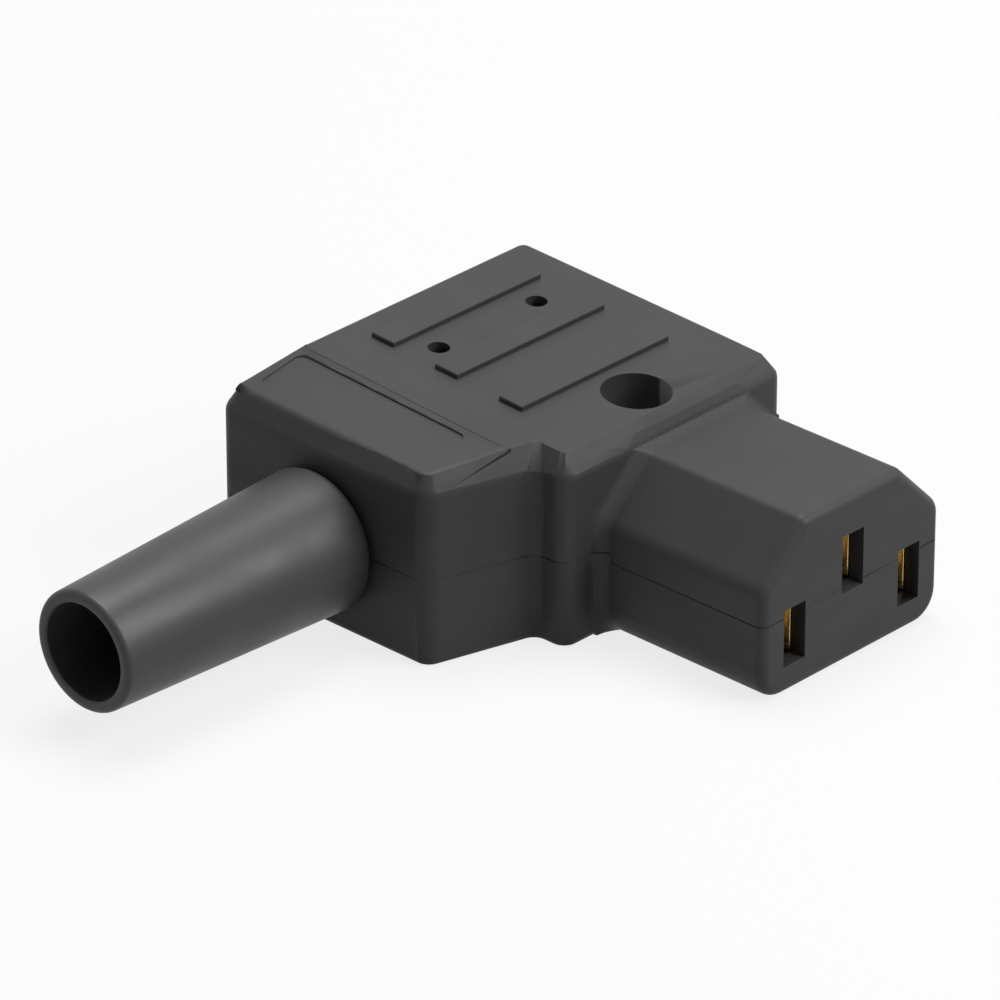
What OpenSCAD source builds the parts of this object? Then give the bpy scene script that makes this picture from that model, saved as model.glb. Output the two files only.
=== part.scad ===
// Right-angle rewireable C13 connector: two moulded half shells, a cable sleeve, the contact set,
// the terminals, the cord clamp and the cover screw.
// +X is the way the contact face points, -Y the way the cable leaves, +Z is up.
// The origin is on the underside, where the cable axis crosses the contact axis.

/* [Housing] */
// Width of the cable end of the housing, across X
end_w = 23.6; // [21:0.1:28]
// Distance from the contact axis back to the cable end wall
cable_reach = 24.9; // [23:0.1:32]
// Distance from the contact axis to the rear wall
rear_reach = 11.6; // [11.3:0.1:16]
// Distance from the cable axis to the front wall that carries the nose
front_x = 18; // [17:0.1:22]
// Distance from the contact axis to the step in the front side
step_y = 15; // [13.5:0.1:17]
// How far the slanted side has moved out where it meets the step
slant = 2.9; // [0.5:0.1:4]
// Housing height at the side away from the nose
body_h = 19; // [18:0.1:24]
// How much lower the top is at the front wall
top_fall = 1.7; // [0:0.1:2.4]
// Wall thickness of both shells
wall = 1.8; // [1.2:0.1:2.2]
// Radius of the upright corners
corner_r = 1.2; // [0.4:0.1:2]
// Height at which the sloping band round the top begins
band_z = 15.6; // [14:0.1:16]
// How far the sloping band leans in
band_in = 1.15; // [0.5:0.05:2]
// Rounding of the bottom edge
bottom_r = 0.6; // [0.2:0.1:1.2]

/* [Sloping end] */
// Length of the sloping area at the cable end
ramp_len = 8; // [5:0.1:10]
// Drop of the sloping area at the side away from the nose
ramp_drop = 1.4; // [0.4:0.1:2]
// Drop of the sloping area at the nose side
ramp_drop_front = 0.4; // [0.2:0.1:1.2]
// Depth of the plain sunk panel on the sloping area
panel_depth = 0.15; // [0.05:0.05:0.4]

/* [Parting line] */
// Height of the parting line round the body
split_z = 7.9; // [7.6:0.1:8.4]
// Height of the parting line on the nose
nose_split_z = 7.1; // [6.6:0.1:7.5]

/* [Nose] */
// Width of the nose
nose_w = 21.8; // [21:0.1:22.6]
// Height of the nose
nose_h = 15.3; // [14.8:0.1:15.6]
// Length of the nose in front of the housing wall
nose_len = 17.8; // [17:0.1:24]
// Size of the two upper chamfers, which key the connector
nose_chamfer = 4.9; // [4:0.1:5.6]
// Radius of the lower corners
nose_low_r = 2.5; // [1:0.1:3.2]
// Rounding of the edge of the contact face
nose_edge_r = 0.6; // [0.2:0.1:1]
// Radius of the fillet at the root of the nose
nose_root_r = 1.3; // [0.5:0.1:1.6]

/* [Contacts] */
// Distance between the live and neutral contact centres
contact_pitch = 14; // [13.5:0.1:14.5]
// Height of the live and neutral contact centres
contact_z = 5.2; // [5:0.05:5.6]
// How far the earth contact sits above the other two
earth_rise = 4; // [3.6:0.1:4.2]
// Width of a contact slot in the face
slot_w = 2.6; // [2.3:0.05:2.9]
// Height of a contact slot in the face
slot_h = 5.2; // [4.6:0.1:5.4]
// Thickness of the face in front of the contacts
face_t = 1.5; // [1:0.1:2.5]
// Sheet thickness of the contacts
leaf_t = 0.6; // [0.4:0.05:0.8]
// Gap between the contact leaves, which grips the pin
leaf_gap = 1.8; // [1.5:0.05:2]
// Height of a contact leaf
leaf_h = 5; // [4:0.1:5.2]
// Length of a contact leaf
leaf_len = 12; // [9:0.1:12.5]

/* [Terminals] */
// Side of a square terminal block
block_w = 4.6; // [4:0.1:4.8]
// Height of a terminal block
block_h = 5.2; // [4.8:0.1:5.6]
// Diameter of the wire hole in a terminal block
wire_d = 2.4; // [1.6:0.1:2.6]
// Diameter of the terminal screws
terminal_screw_d = 2.5; // [2:0.1:3]

/* [Grip ribs and holes] */
// Length of the raised grip ribs on the top
rib_len = 17.9; // [10:0.1:19]
// Width of the raised grip ribs
rib_w = 2.6; // [1.5:0.1:4]
// Height of the raised grip ribs
rib_h = 0.45; // [0.2:0.05:1]
// Distance from one grip rib to the next
rib_pitch = 7.25; // [5:0.05:7.6]
// Diameter of the two small holes in the top
pin_hole_d = 1.9; // [1:0.1:2.4]
// Distance between the two small holes
pin_hole_pitch = 11.8; // [8:0.1:14]

/* [Cover screw] */
// Diameter of the deep recess over the cover screw
recess_d = 6; // [5.8:0.1:6.6]
// Diameter of the cover screw
cover_screw_d = 3; // [2.5:0.1:3.2]
// Head diameter of the cover screw
cover_head_d = 5.4; // [5:0.1:5.6]
// Width across the flats of the captive nut
nut_af = 5.5; // [5:0.1:5.8]

/* [Cable sleeve] */
// Length of the cable sleeve outside the housing
sleeve_len = 27.1; // [18:0.1:40]
// Outer diameter at the free end
sleeve_tip_d = 10.6; // [10:0.1:11.4]
// Outer diameter at the housing
sleeve_root_d = 12.6; // [12:0.1:14]
// Bore of the sleeve
sleeve_bore_d = 8.4; // [7:0.1:8.8]
// Diameter of the neck where the sleeve passes the end wall
sleeve_neck_d = 10.4; // [10:0.1:11]
// Diameter of the flange that holds the sleeve in the shells
sleeve_flange_d = 13; // [12:0.1:14]
// Height of the cable axis
cable_z = 8; // [7.9:0.05:8.2]

/* [Cord clamp] */
// Width of the cord clamp bar
clamp_w = 4.4; // [3:0.1:5]
// Thickness of the cord clamp bar
clamp_t = 2.2; // [1.6:0.1:2.6]
// Diameter of the cord clamp screws
clamp_screw_d = 2.5; // [2:0.1:2.9]

/* [Hidden] */
// Clearance between pieces that slide together
fit = 0.15;
// Amount by which a cut runs past the face it opens
over = 1;
big = 200;
round_fn = 48;

// The housing outline, seen from above, as corners going round against the clock
end_x = end_w / 2;
face_x = front_x + nose_len;
body_corners = [
    [-end_x, -cable_reach],
    [end_x, -cable_reach],
    [end_x + slant, -step_y],
    [front_x, -step_y],
    [front_x, rear_reach],
    [-end_x, rear_reach]
];

// Direction of a line, and its left-hand side
function unit(v) = v / norm(v);
function left(v) = [-v[1], v[0]];
// Point where two lines, each moved sideways by d, cross
function corner_in(a, b, c, d) =
    let (u = unit(b - a), v = unit(c - b), n = left(u), m = left(v))
    b + d * (n + m) / (1 + n * m);
// An outline with every side moved in by d
function inset(p, d) = [
    for (i = [0 : len(p) - 1])
        corner_in(p[(i + len(p) - 1) % len(p)], p[i], p[(i + 1) % len(p)], d)
];
// An outline with every corner rounded by r, each in the same number of points
function rounded(p, r, n = 4) = [
    for (i = [0 : len(p) - 1])
        let (
            u = unit(p[(i + len(p) - 1) % len(p)] - p[i]),
            v = unit(p[(i + 1) % len(p)] - p[i]),
            half = acos(max(-1, min(1, u * v))) / 2,
            c = p[i] + unit(u + v) * r / sin(half),
            s = p[i] + u * r / tan(half) - c,
            e = p[i] + v * r / tan(half) - c
        )
        for (k = [0 : n]) c + r * unit(s * (n - k) + e * k)
];
// A closed skin over a stack of loops that have the same number of points
module loft(loops) {
    n = len(loops[0]);
    m = len(loops);
    sides = [
        for (j = [0 : m - 2]) for (i = [0 : n - 1])
            [j * n + i, (j + 1) * n + i, (j + 1) * n + (i + 1) % n, j * n + (i + 1) % n]
    ];
    polyhedron(
        points = [for (l = loops) for (p = l) p],
        faces = concat(
            [[for (i = [0 : n - 1]) i]],
            sides,
            [[for (i = [n - 1 : -1 : 0]) (m - 1) * n + i]]
        )
    );
}

// Height of the sloping top over a point
top_slope = top_fall / (front_x + end_x);
function top_z(x) = body_h - (x + end_x) * top_slope;
top_tilt = atan(top_slope);

// Body and nose outside form
module body_form() {
    base = [
        for (k = [0 : 3])
            let (a = 30 * k, d = bottom_r * (1 - sin(a)))
            [for (p = rounded(inset(body_corners, d), corner_r)) [p[0], p[1], bottom_r * (1 - cos(a))]]
    ];
    band = [for (p = rounded(body_corners, corner_r)) [p[0], p[1], band_z]];
    rim = [for (p = rounded(inset(body_corners, band_in), corner_r / 2)) [p[0], p[1], top_z(p[0])]];
    loft(concat(base, [band, rim]));
}

nose_section = [
    [-nose_w / 2, 0],
    [nose_w / 2, 0],
    [nose_w / 2, nose_h - nose_chamfer],
    [nose_w / 2 - nose_chamfer, nose_h],
    [nose_chamfer - nose_w / 2, nose_h],
    [-nose_w / 2, nose_h - nose_chamfer]
];
// The nose section moved in by d (out when negative), at a place along X
function nose_loop(x, d) = let (low = nose_low_r - d, high = 0.9 - min(d, 0.6)) [
    for (p = rounded_each(inset(nose_section, d), [low, low, high, high, high, high])) [x, p[0], p[1]]
];
function rounded_each(p, r) = [
    for (i = [0 : len(p) - 1]) each [
        for (k = [0 : 4]) rounded(p, r[i])[i * 5 + k]
    ]
];

module nose_form() {
    root = [
        for (k = [0 : 5])
            nose_loop(front_x + nose_root_r * (1 - cos(18 * k)), -nose_root_r * (1 - sin(18 * k)))
    ];
    tip = [
        for (k = [0 : 3])
            nose_loop(face_x - nose_edge_r * (1 - sin(30 * k)), nose_edge_r * (1 - cos(30 * k)))
    ];
    intersection() {
        loft(concat([nose_loop(front_x - wall, -nose_root_r)], root, tip));
        translate([0, -big + rear_reach - corner_r / 2, 0]) cube(big);
    }
}

// Everything above the sloping area at the cable end
module above_ramp() {
    strips = 8;
    x0 = -end_x - over;
    x1 = end_x + slant + over;
    y1 = ramp_len - cable_reach;
    run = (ramp_len + over) / ramp_len;
    loft([
        for (i = [0 : strips])
            let (
                x = x0 + (x1 - x0) * i / strips,
                share = (x + end_x) / end_w,
                drop = ramp_drop + (ramp_drop_front - ramp_drop) * share
            )
            [
                [x, -cable_reach - over, top_z(x) - drop * run],
                [x, y1, top_z(x)],
                [x, y1, body_h + big],
                [x, -cable_reach - over, body_h + big]
            ]
    ]);
}

// Plain sunk panel on the sloping area
panel_margin = 1.2;
module panel() {
    x0 = -end_x + band_in + panel_margin;
    x1 = end_x - band_in - panel_margin;
    y0 = -cable_reach + band_in + panel_margin;
    y1 = ramp_len - cable_reach - panel_margin / 2;
    intersection() {
        translate([0, 0, -panel_depth]) above_ramp();
        linear_extrude(big)
            polygon(rounded([[x0, y0], [x1, y0], [x1, y1], [x0, y1]], 0.8));
    }
}

// Room inside both shells, with upright walls up to the band
room_corners = rounded(inset(body_corners, wall), corner_r / 2);
module lower_room() {
    translate([0, 0, wall]) linear_extrude(band_z - 2 * wall) polygon(room_corners);
}
module inside() {
    high = rounded(inset(body_corners, wall + band_in), corner_r / 2);
    difference() {
        loft([
            [for (p = room_corners) [p[0], p[1], wall]],
            [for (p = room_corners) [p[0], p[1], band_z - wall]],
            [for (p = high) [p[0], p[1], top_z(p[0]) - wall]]
        ]);
        translate([0, 0, -wall]) above_ramp();
    }
}

// Split between the shells: a level plane that steps down on the nose
step_x = front_x + nose_root_r;
module above_split() {
    translate([-big / 2, -big / 2, split_z]) cube([big / 2 + step_x, big, big]);
    translate([step_x, -big / 2, nose_split_z]) cube([big / 2, big, big]);
}
module below_split() {
    translate([-big / 2, -big / 2, split_z - big]) cube([big / 2 + step_x, big, big]);
    translate([step_x, -big / 2, nose_split_z - big]) cube([big / 2, big, big]);
}

// Contacts: one U of folded sheet with sprung leaves and a tail
contact_h = leaf_h;
contact_tip = face_x - face_t - fit;
contact_back = contact_tip - leaf_len;
chamber_w = leaf_gap + 2 * leaf_t + 4 * fit + 0.8;
chamber_h = leaf_h + 4 * fit;
live_y = -contact_pitch / 2;
neutral_y = contact_pitch / 2;
earth_z = contact_z + earth_rise;
tail_w = 1.9;
earth_tail_w = 2.4;
// Sideways shift of the earth tail, past the cover screw boss
earth_tail_y = 3.2;

module chamber(y, z, x0) {
    translate([x0, y - chamber_w / 2, z - chamber_h / 2])
        cube([face_x - face_t - x0, chamber_w, chamber_h]);
    translate([face_x - face_t - over, y - slot_w / 2, z - slot_h / 2])
        cube([face_t + 2 * over, slot_w, slot_h]);
}
module chambers() {
    chamber(live_y, contact_z, front_x - wall - over);
    chamber(neutral_y, contact_z, front_x - wall - over);
    chamber(0, earth_z, contact_back - 1.6);
    translate([front_x - wall - over, earth_tail_y - earth_tail_w / 2 - fit, tail_z(earth_z) - 2 * fit])
        cube([contact_back + leaf_t + fit - front_x + wall + over, earth_tail_w + 2 * fit, leaf_t + 4 * fit]);
}
function tail_z(z) = z - contact_h / 2;

// Both sides of a strip of sheet that follows a path
function strip(p, t) = concat(
    [for (i = [0 : len(p) - 1]) beside(p, i, t / 2)],
    [for (i = [len(p) - 1 : -1 : 0]) beside(p, i, -t / 2)]
);
function beside(p, i, d) =
    i == 0 ? p[0] + d * left(unit(p[1] - p[0])) :
    i == len(p) - 1 ? p[i] + d * left(unit(p[i] - p[i - 1])) :
    corner_in(p[i - 1], p[i], p[i + 1], d);

module leaves(y, z) {
    g = (leaf_gap + leaf_t) / 2;
    pinch = 0.25;
    flare = 0.3;
    translate([0, y, z - contact_h / 2])
        linear_extrude(contact_h)
            polygon(strip([
                [contact_tip, g + flare],
                [contact_tip - 1.6, g - pinch],
                [contact_tip - 4.5, g],
                [contact_back + leaf_t / 2, g],
                [contact_back + leaf_t / 2, -g],
                [contact_tip - 4.5, -g],
                [contact_tip - 1.6, -g + pinch],
                [contact_tip, -g - flare]
            ], leaf_t));
}
module straight_contact(y, block_x) {
    leaves(y, contact_z);
    translate([block_x - block_w / 2, y - tail_w / 2, tail_z(contact_z)])
        cube([contact_back + leaf_t - block_x + block_w / 2, tail_w, leaf_t]);
}

// Terminals: a brass block on the contact tail, a wire hole along Y and a screw from above
live_block_x = 8.2;
neutral_block_x = 10.4;
earth_block_x = 2.4;
wire_z = block_h * 0.42;
screw_head_d = terminal_screw_d + 1.2;
screw_head_h = 1.3;

module block(x, y, z) {
    translate([x, y, z + leaf_t]) difference() {
        translate([-block_w / 2, -block_w / 2, 0]) cube([block_w, block_w, block_h]);
        translate([0, 0, wire_z]) rotate([90, 0, 0])
            cylinder(h = block_w + 2 * over, d = wire_d, center = true, $fn = round_fn);
        translate([0, 0, wire_z]) cylinder(h = block_h, d = terminal_screw_d, $fn = round_fn);
    }
}
module slotted_screw(d, length, head_d, head_h) {
    difference() {
        union() {
            translate([0, 0, -length]) cylinder(h = length + head_h / 2, d = d, $fn = round_fn);
            cylinder(h = head_h, d = head_d, $fn = round_fn);
        }
        translate([-head_d, -head_d / 12, head_h * 0.45]) cube([2 * head_d, head_d / 6, head_h]);
    }
}
module block_screw(x, y, z) {
    translate([x, y, z + leaf_t + block_h])
        slotted_screw(terminal_screw_d - fit, block_h - wire_z, screw_head_d, screw_head_h);
}

// Cover screw through both shells into a captive nut
screw_x = 13.7;
screw_y = -1.9;
boss_wall = 1.2;
seat_z = 11.5;
nut_h = 2.4;
nut_pocket_h = nut_h + 0.4;
low_boss_d = 8;
stem_d = cover_screw_d + 2 * fit + 2 * boss_wall;
nut_d = nut_af / cos(30);

// Sleeve and cord clamp
flange_t = 1.4;
retainer_t = 1;
flange_y = -cable_reach + wall + fit;
retainer_y = flange_y + flange_t + fit;
post_d = clamp_screw_d + 1.8;
// The clamp screws stand as far apart as the shells allow
clamp_pitch = end_w - 2 * wall - post_d - 2 * fit;
clamp_y = retainer_y + retainer_t + 2 * fit + post_d / 2;
clamp_seat_z = cable_z + 2.4;
clamp_bore_d = sleeve_bore_d - 0.2;
clamp_head_h = 1.4;
clamp_head_d = post_d - fit;

module retainer() {
    translate([-end_x, retainer_y, 0]) cube([end_w, retainer_t, body_h]);
}
module cable_hole(d, y0, y1) {
    translate([0, y1, cable_z]) rotate([90, 0, 0]) cylinder(h = y1 - y0, d = d, $fn = 64);
}

// Locating pegs
peg_d = 2;
peg_h = 1.6;
peg_in = 1.4;
pegs = [
    [-end_x + wall + peg_in, rear_reach - wall - peg_in],
    [front_x - wall - peg_in, -step_y + wall + peg_in]
];

module grip_rib(i) {
    x = rib_mid_x + i * rib_pitch;
    translate([x, rib_y, top_z(x)]) rotate([0, top_tilt, 0])
        translate([-rib_w, 0, -0.6]) cube([rib_w, rib_len, rib_h + 0.6]);
}
rib_mid_x = 2.45;
rib_y = -11.4;
pin_hole_x = -2.3;
pin_hole_y = -8.6;

module upper_shell() color([0.17, 0.17, 0.18]) {
    difference() {
        intersection() {
            difference() {
                union() {
                    body_form();
                    nose_form();
                }
                above_ramp();
                panel();
            }
            above_split();
        }
        difference() {
            inside();
            translate([screw_x, screw_y, 0]) {
                translate([0, 0, seat_z - wall]) cylinder(h = body_h, d = recess_d + 2 * boss_wall, $fn = round_fn);
                cylinder(h = body_h, d = stem_d, $fn = round_fn);
            }
            retainer();
            for (p = pegs) translate([p[0], p[1], 0]) cylinder(h = body_h, d = peg_d + 1.6, $fn = round_fn);
        }
        chambers();
        translate([screw_x, screw_y, seat_z]) cylinder(h = body_h, d = recess_d, $fn = round_fn);
        translate([screw_x, screw_y, 0]) cylinder(h = body_h, d = cover_screw_d + 2 * fit, $fn = round_fn);
        cable_hole(sleeve_neck_d + 2 * fit, -cable_reach - over, retainer_y + retainer_t + over);
        cable_hole(sleeve_flange_d + 2 * fit, flange_y - fit, retainer_y);
        for (i = [0 : 1]) translate([pin_hole_x, pin_hole_y + i * pin_hole_pitch, split_z])
            cylinder(h = body_h, d = pin_hole_d, $fn = round_fn);
    }
    for (i = [-1 : 1]) grip_rib(i);
    for (p = pegs) translate([p[0], p[1], split_z - peg_h])
        cylinder(h = peg_h + over, d = peg_d, $fn = round_fn);
}

module lower_shell() color([0.16, 0.16, 0.17]) {
    difference() {
        intersection() {
            union() {
                body_form();
                nose_form();
            }
            below_split();
        }
        difference() {
            lower_room();
            translate([screw_x, screw_y, 0]) {
                cylinder(h = nut_pocket_h + boss_wall, d = low_boss_d, $fn = round_fn);
                cylinder(h = body_h, d = stem_d, $fn = round_fn);
            }
            retainer();
            for (p = pegs) translate([p[0], p[1], 0]) cylinder(h = body_h, d = peg_d + 1.6, $fn = round_fn);
            for (b = [[live_block_x, live_y, contact_z], [neutral_block_x, neutral_y, contact_z],
                      [earth_block_x, earth_tail_y, earth_z]])
                translate([b[0] - block_w / 2, b[1] - tail_w / 2, 0])
                    cube([block_w, tail_w, tail_z(b[2])]);
            translate([-end_x, clamp_y - 1, 0]) cube([end_w, 2, body_h]);
        }
        chambers();
        translate([screw_x, screw_y, -over])
            cylinder(h = body_h, d = cover_screw_d + 2 * fit, $fn = round_fn);
        translate([screw_x, screw_y, -over])
            cylinder(h = nut_pocket_h + over, d = (nut_af + 2 * fit) / cos(30), $fn = 6);
        cable_hole(sleeve_neck_d + 2 * fit, -cable_reach - over, retainer_y + retainer_t + over);
        cable_hole(sleeve_flange_d + 2 * fit, flange_y - fit, retainer_y);
        cable_hole(clamp_bore_d, clamp_y - 2, clamp_y + 2);
        for (p = pegs) translate([p[0], p[1], split_z - peg_h - 2 * fit])
            cylinder(h = body_h, d = peg_d + 2 * fit, $fn = round_fn);
        for (s = [-1, 1]) translate([s * clamp_pitch / 2, clamp_y, 2 * wall])
            cylinder(h = body_h, d = clamp_screw_d, $fn = round_fn);
    }
    for (s = [-1, 1]) translate([s * clamp_pitch / 2, clamp_y, 0]) difference() {
        translate([0, 0, wall / 2]) cylinder(h = clamp_seat_z - wall / 2, d = post_d, $fn = round_fn);
        translate([0, 0, 2 * wall]) cylinder(h = body_h, d = clamp_screw_d, $fn = round_fn);
    }
}

module cable_sleeve() color([0.2, 0.2, 0.21]) {
    rt = sleeve_tip_d / 2;
    rr = sleeve_root_d / 2;
    rb = sleeve_bore_d / 2;
    rn = sleeve_neck_d / 2;
    rf = sleeve_flange_d / 2;
    edge = 0.5;
    shoulder = 0.9;
    in0 = -wall - fit;
    translate([0, -cable_reach, cable_z]) rotate([90, 0, 0]) rotate_extrude($fn = 64)
        polygon(concat(
            [[rb, in0 - flange_t], [rf, in0 - flange_t], [rf, in0], [rn, in0], [rn, 2 * fit]],
            [for (a = [0 : 22.5 : 90]) [rr - shoulder + shoulder * sin(a), 2 * fit + shoulder * (1 - cos(a))]],
            [for (a = [0 : 30 : 90]) [rt - edge + edge * cos(a), sleeve_len - edge + edge * sin(a)]],
            [[rb, sleeve_len]]
        ));
}

module live_contact() color([0.78, 0.62, 0.28]) straight_contact(live_y, live_block_x);
module neutral_contact() color([0.78, 0.62, 0.28]) straight_contact(neutral_y, neutral_block_x);
module earth_contact() color([0.78, 0.62, 0.28]) {
    leaves(0, earth_z);
    translate([contact_back - 1.2, -tail_w / 2, tail_z(earth_z)])
        cube([1.2 + leaf_t, earth_tail_y + earth_tail_w / 2 + tail_w / 2, leaf_t]);
    translate([earth_block_x - block_w / 2, earth_tail_y - earth_tail_w / 2, tail_z(earth_z)])
        cube([contact_back - earth_block_x + block_w / 2, earth_tail_w, leaf_t]);
}

module live_terminal() color([0.8, 0.66, 0.32]) block(live_block_x, live_y, tail_z(contact_z));
module neutral_terminal() color([0.8, 0.66, 0.32]) block(neutral_block_x, neutral_y, tail_z(contact_z));
module earth_terminal() color([0.8, 0.66, 0.32]) block(earth_block_x, earth_tail_y, tail_z(earth_z));
module live_terminal_screw() color("silver") block_screw(live_block_x, live_y, tail_z(contact_z));
module neutral_terminal_screw() color("silver") block_screw(neutral_block_x, neutral_y, tail_z(contact_z));
module earth_terminal_screw() color("silver") block_screw(earth_block_x, earth_tail_y, tail_z(earth_z));

module cord_clamp() color([0.3, 0.3, 0.31]) {
    bar_l = end_w - 2 * wall - 2 * fit;
    difference() {
        union() {
            translate([-bar_l / 2, clamp_y - clamp_w / 2, clamp_seat_z]) cube([bar_l, clamp_w, clamp_t]);
            cable_hole(clamp_bore_d + 2 * clamp_t, clamp_y - clamp_w / 2, clamp_y + clamp_w / 2);
        }
        cable_hole(clamp_bore_d, clamp_y - clamp_w, clamp_y + clamp_w);
        translate([-big / 2, clamp_y - clamp_w, clamp_seat_z - big]) cube([big, 2 * clamp_w, big]);
        for (s = [-1, 1]) translate([s * clamp_pitch / 2, clamp_y, 0])
            cylinder(h = body_h, d = clamp_screw_d + 2 * fit, $fn = round_fn);
    }
}
module clamp_screw(s) {
    translate([s * clamp_pitch / 2, clamp_y, clamp_seat_z + clamp_t])
        slotted_screw(clamp_screw_d - fit, clamp_t + 5.5, clamp_head_d, clamp_head_h);
}
module cord_clamp_screw_left() color("silver") clamp_screw(-1);
module cord_clamp_screw_right() color("silver") clamp_screw(1);

module cover_screw() color("silver") {
    translate([screw_x, screw_y, seat_z])
        slotted_screw(cover_screw_d - fit, seat_z - 0.8, cover_head_d, 2);
}
module cover_nut() color("silver") {
    translate([screw_x, screw_y, nut_pocket_h - nut_h]) difference() {
        cylinder(h = nut_h, d = nut_d, $fn = 6);
        translate([0, 0, -over]) cylinder(h = nut_h + 2 * over, d = cover_screw_d, $fn = round_fn);
    }
}

upper_shell();
lower_shell();
cable_sleeve();
live_contact();
neutral_contact();
earth_contact();
live_terminal();
neutral_terminal();
earth_terminal();
live_terminal_screw();
neutral_terminal_screw();
earth_terminal_screw();
cord_clamp();
cord_clamp_screw_left();
cord_clamp_screw_right();
cover_screw();
cover_nut();
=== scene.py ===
"""Dresses the right-angle C13 connector: moulded shells, cable sleeve, brass contacts and screws.

Every length is in metres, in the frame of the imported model: +X is the way the contact face
points, -Y the way the cable leaves, +Z is up.
"""

import logging
import math
from dataclasses import dataclass, field
from enum import Enum
from typing import Callable, Iterable

import bmesh
import bpy
from mathutils import Matrix, Vector


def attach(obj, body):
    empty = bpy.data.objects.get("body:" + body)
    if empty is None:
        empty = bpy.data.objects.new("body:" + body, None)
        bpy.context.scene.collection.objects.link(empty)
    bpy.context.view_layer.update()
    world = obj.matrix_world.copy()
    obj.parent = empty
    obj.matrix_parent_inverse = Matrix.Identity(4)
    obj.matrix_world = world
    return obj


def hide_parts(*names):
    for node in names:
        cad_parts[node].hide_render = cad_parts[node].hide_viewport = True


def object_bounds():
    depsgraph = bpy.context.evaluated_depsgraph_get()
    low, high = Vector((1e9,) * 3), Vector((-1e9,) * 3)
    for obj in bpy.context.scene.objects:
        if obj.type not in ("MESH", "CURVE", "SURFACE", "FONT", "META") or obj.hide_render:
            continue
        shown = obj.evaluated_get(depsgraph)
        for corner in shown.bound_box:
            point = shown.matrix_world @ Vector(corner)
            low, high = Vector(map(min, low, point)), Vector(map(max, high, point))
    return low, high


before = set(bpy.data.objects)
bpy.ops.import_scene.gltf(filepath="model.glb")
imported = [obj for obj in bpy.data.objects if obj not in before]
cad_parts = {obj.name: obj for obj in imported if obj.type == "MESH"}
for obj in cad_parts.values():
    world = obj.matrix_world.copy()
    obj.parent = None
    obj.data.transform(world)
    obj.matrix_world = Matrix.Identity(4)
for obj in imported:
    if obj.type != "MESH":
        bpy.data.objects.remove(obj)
CAD_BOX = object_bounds()

LOG = logging.getLogger("c13_connector")
MM = 0.001

# Distances below which points are one: in the CAD solids, the cut shells, the shaded shells
# and the turned sleeve
SOLID_WELD = 0.002 * MM
SHELL_WELD = 0.001 * MM
SHADED_WELD = 0.0015 * MM
LATHE_WELD = 1e-7
# Length below which an edge is a sliver
SLIVER = 0.001 * MM
# Bends in degrees below which two faces are one flat face: in the CAD solids and in the body
SOLID_FLAT = 0.6
BODY_FLAT = 0.05


class Slot(Enum):
    """Material slots of the record."""

    SHELL = "shell_black"
    SLEEVE = "sleeve_black"
    CLAMP = "clamp_plastic"
    CONTACT = "contact_brass"
    TERMINAL = "terminal_brass"
    SCREW = "screw_steel"


class Join(Enum):
    """Ways to combine two closed meshes."""

    UNITE = "UNION"
    CUT = "DIFFERENCE"
    TRIM = "INTERSECT"


Outline = list[tuple[float, float]]


# ---------------------------------------------------------------- finishes


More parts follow.
